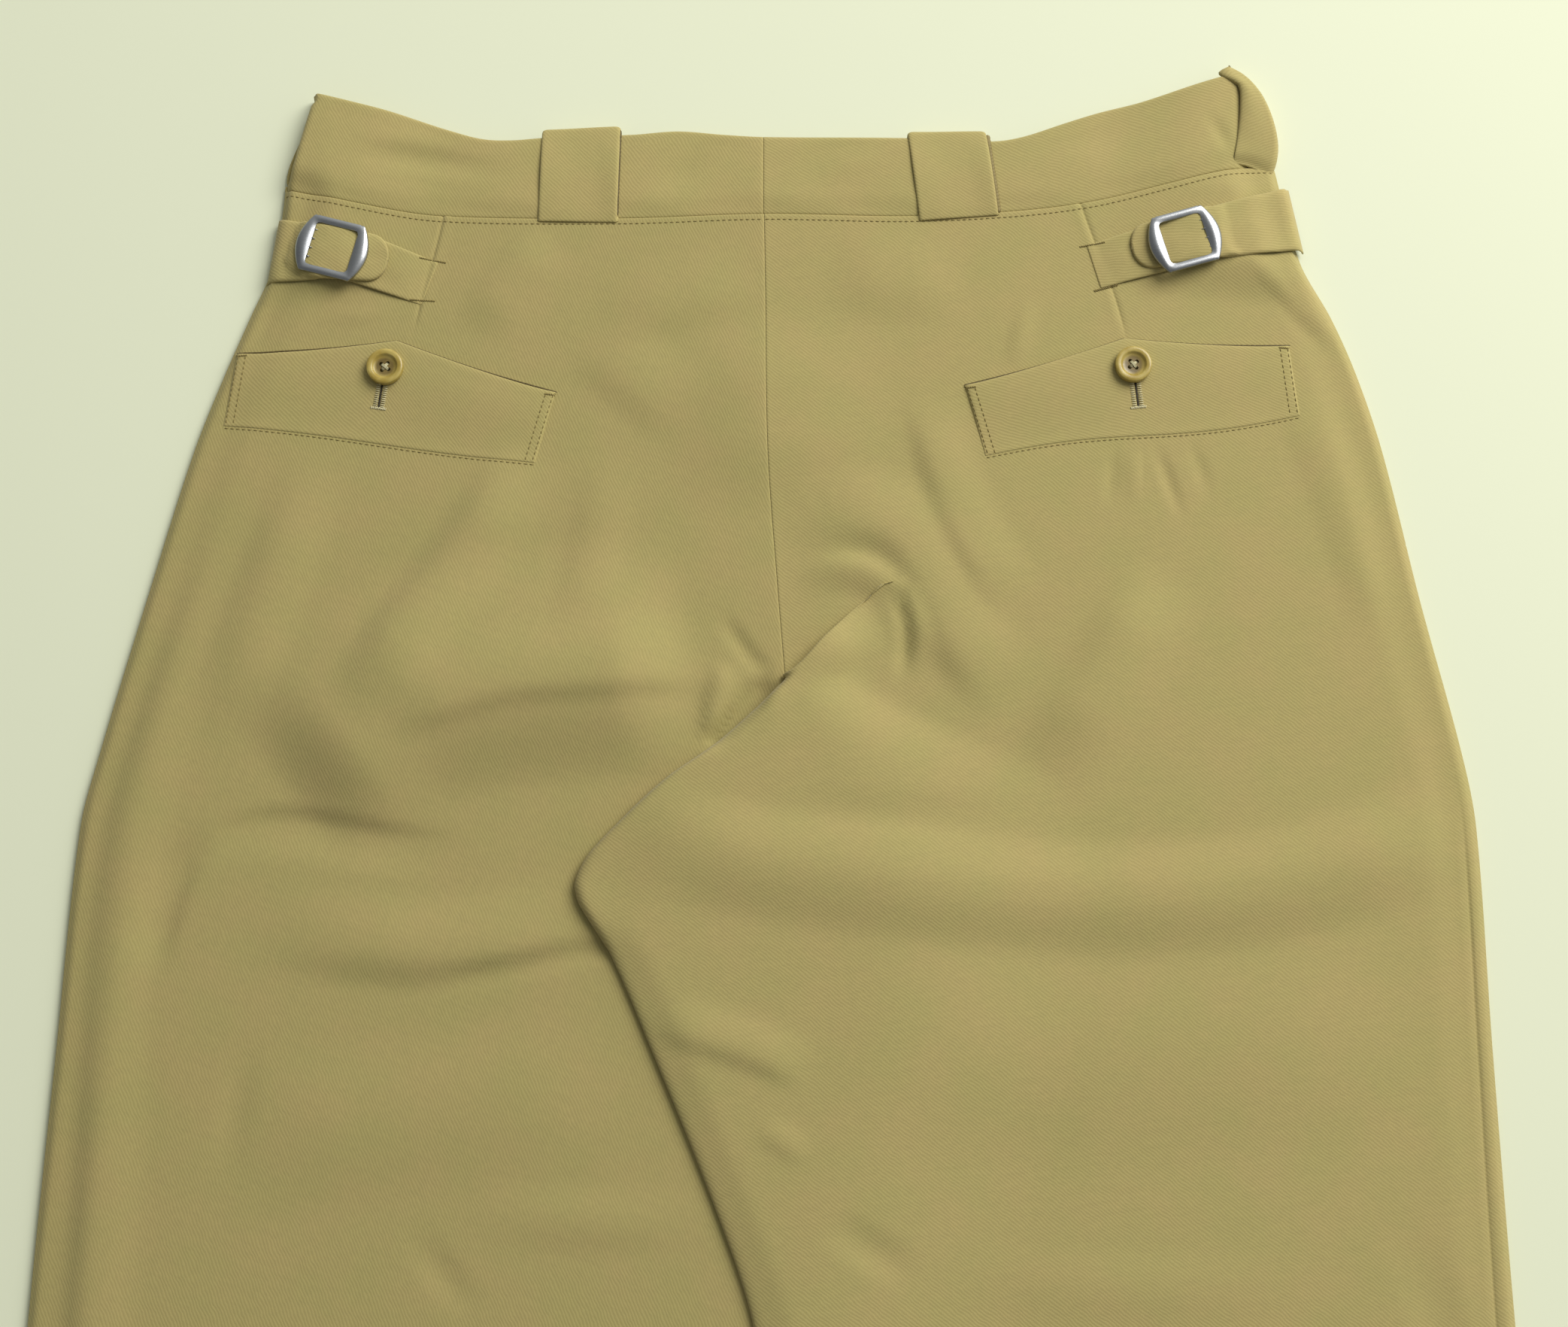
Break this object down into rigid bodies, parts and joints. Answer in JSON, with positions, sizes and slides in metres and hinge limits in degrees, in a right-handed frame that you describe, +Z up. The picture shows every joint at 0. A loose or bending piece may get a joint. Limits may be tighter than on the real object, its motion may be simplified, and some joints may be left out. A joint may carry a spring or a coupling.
{
  "type": "pleated trousers",
  "caption": "Pleated cotton twill trousers laid face down, with side adjuster straps and buckles, wide belt loops and buttoned back pockets.",
  "frame": {"origin": "middle of the outline of the laid-out garment, on the surface it lies on", "axes": "+Y towards the waist, +X towards the right leg as seen from the back, +Z up out of the seat side"},
  "size_m": [0.598, 1.075, 0.0156],
  "materials": {
    "cotton_twill": "matt cotton twill with a fine diagonal wale",
    "polished_steel": "polished nickel-plated stamped steel",
    "horn_resin": "glossy khaki resin button"
  },
  "bodies": {
    "root": {"front_left": "cotton_twill", "front_right": "cotton_twill", "back_left": "cotton_twill", "back_right": "cotton_twill", "waistband_back_left": "cotton_twill", "waistband_back_right": "cotton_twill", "waistband_front_left": "cotton_twill", "waistband_front_right": "cotton_twill", "pocket_welt_left": "cotton_twill", "pocket_welt_right": "cotton_twill", "belt_loop_left": "cotton_twill", "belt_loop_right": "cotton_twill", "adjuster_tab_left": "cotton_twill", "adjuster_tab_right": "cotton_twill", "adjuster_strap_left": "cotton_twill", "adjuster_strap_right": "cotton_twill", "buckle_left": "polished_steel", "buckle_right": "polished_steel", "button_left": "horn_resin", "button_right": "horn_resin"}
  },
  "joints": []
}
